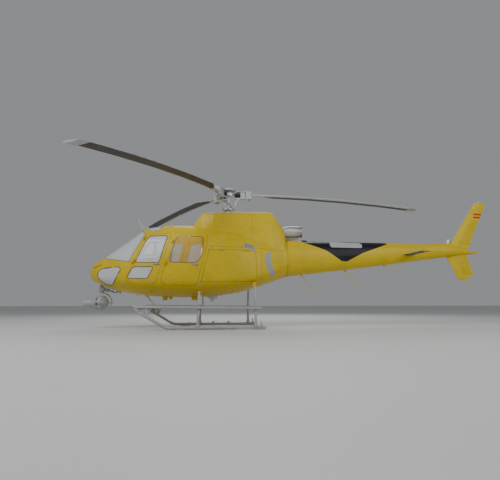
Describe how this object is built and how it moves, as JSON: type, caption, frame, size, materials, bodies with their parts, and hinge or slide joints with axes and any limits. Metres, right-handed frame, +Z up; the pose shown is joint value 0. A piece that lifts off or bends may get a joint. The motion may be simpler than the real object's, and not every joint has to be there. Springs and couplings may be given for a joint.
{
  "type": "light single-engine utility helicopter on skids",
  "caption": "Light utility helicopter: glazed cabin with hinged doors, skid gear with long steps, bearingless rotor head, slim tail boom with fins, tail rotor and nose camera ball.",
  "frame": {"origin": "on the ground under the middle of the bounding box", "axes": "+Z up, -X towards the nose, +X along the tail boom, +Y to starboard"},
  "size_m": [11.0332, 9.4329, 3.6369],
  "materials": {
    "yellow_paint": "satin paint",
    "grey_paint": "satin paint",
    "bare_steel": "machined",
    "rotor_grey": "matt paint",
    "dark_panel": "matt",
    "seat_cloth": "woven",
    "clear_pane": "polished",
    "camera_grey": "satin paint"
  },
  "bodies": {
    "airframe": {"cabin_shell": "yellow_paint", "belly_structure": "yellow_paint", "rear_body": "yellow_paint", "windshield_left": "clear_pane", "windshield_right": "clear_pane", "chin_window_left": "clear_pane", "chin_window_right": "clear_pane", "roof_window_left": "clear_pane", "roof_window_right": "clear_pane", "rotor_cowling": "yellow_paint", "exhaust_duct": "bare_steel", "engine_block": "bare_steel", "rotor_gearbox": "bare_steel", "tail_boom": "yellow_paint", "stabiliser": "yellow_paint", "upper_fin": "yellow_paint", "lower_fin": "yellow_paint", "tail_gearbox": "bare_steel", "skid_left": "grey_paint", "skid_right": "grey_paint", "step_left": "grey_paint", "step_right": "grey_paint", "cross_tube_front": "grey_paint", "cross_tube_rear": "grey_paint", "wire_cutter": "grey_paint", "camera_mount": "camera_grey", "landing_lamp": "yellow_paint", "cargo_hook": "bare_steel", "instrument_console": "dark_panel", "seat_front_left": "seat_cloth", "seat_front_right": "seat_cloth", "rear_bench": "seat_cloth"},
    "main_rotor": {"rotor_head": "bare_steel", "main_blade_1": "rotor_grey", "main_blade_2": "rotor_grey", "main_blade_3": "rotor_grey", "swashplate": "bare_steel"},
    "tail_rotor_body": {"tail_rotor": "rotor_grey"},
    "camera_pan_body": {"camera_yoke": "camera_grey"},
    "camera_ball_body": {"camera_ball": "camera_grey"},
    "door_front_left_body": {"door_front_left": "yellow_paint", "door_front_left_glass": "clear_pane", "door_front_left_lower_glass": "clear_pane"},
    "door_rear_left_body": {"door_rear_left": "yellow_paint", "door_rear_left_glass": "clear_pane"},
    "locker_door_left_body": {"locker_door_left": "yellow_paint"},
    "door_front_right_body": {"door_front_right": "yellow_paint", "door_front_right_glass": "clear_pane", "door_front_right_lower_glass": "clear_pane"},
    "door_rear_right_body": {"door_rear_right": "yellow_paint", "door_rear_right_glass": "clear_pane"},
    "locker_door_right_body": {"locker_door_right": "yellow_paint"}
  },
  "joints": [
    {"name": "main_rotor_spin", "type": "hinge", "parent": "airframe", "child": "main_rotor", "pos_m": [-2.066, 0, 3.47], "axis": [-0.0216, 0, 0.9998], "continuous": true},
    {"name": "tail_rotor_spin", "type": "hinge", "parent": "airframe", "child": "tail_rotor_body", "pos_m": [4.264, 0.37, 2.12], "axis": [0, 1, 0], "continuous": true},
    {"name": "camera_pan", "type": "hinge", "parent": "airframe", "child": "camera_pan_body", "pos_m": [-5.116, 0, 0.62], "axis": [0, 0, 1], "continuous": true},
    {"name": "camera_tilt", "type": "hinge", "parent": "camera_pan_body", "child": "camera_ball_body", "pos_m": [-5.116, 0, 0.62], "axis": [0, 1, 0], "range_deg": [-90, 20]},
    {"name": "door_front_left_hinge", "type": "hinge", "parent": "airframe", "child": "door_front_left_body", "pos_m": [-4.162, -0.7885, 1.89], "axis": [-0.3334, -0.2677, -0.904], "range_deg": [0, 75]},
    {"name": "door_rear_left_hinge", "type": "hinge", "parent": "airframe", "child": "door_rear_left_body", "pos_m": [-3.4615, -0.906, 1.84], "axis": [-0.2391, -0.2044, -0.9492], "range_deg": [0, 75]},
    {"name": "locker_door_left_hinge", "type": "hinge", "parent": "airframe", "child": "locker_door_left_body", "pos_m": [-1.918, -0.82, 1.9055], "axis": [-0.9909, -0.1342, -0.0112], "range_deg": [0, 85]},
    {"name": "door_front_right_hinge", "type": "hinge", "parent": "airframe", "child": "door_front_right_body", "pos_m": [-4.162, 0.7885, 1.89], "axis": [0.3334, -0.2677, 0.904], "range_deg": [0, 75]},
    {"name": "door_rear_right_hinge", "type": "hinge", "parent": "airframe", "child": "door_rear_right_body", "pos_m": [-3.1715, 0.906, 1.84], "axis": [0.2391, -0.2044, 0.9492], "range_deg": [0, 75]},
    {"name": "locker_door_right_hinge", "type": "hinge", "parent": "airframe", "child": "locker_door_right_body", "pos_m": [-1.918, 0.82, 1.9055], "axis": [0.9909, -0.1342, 0.0112], "range_deg": [0, 85]}
  ]
}
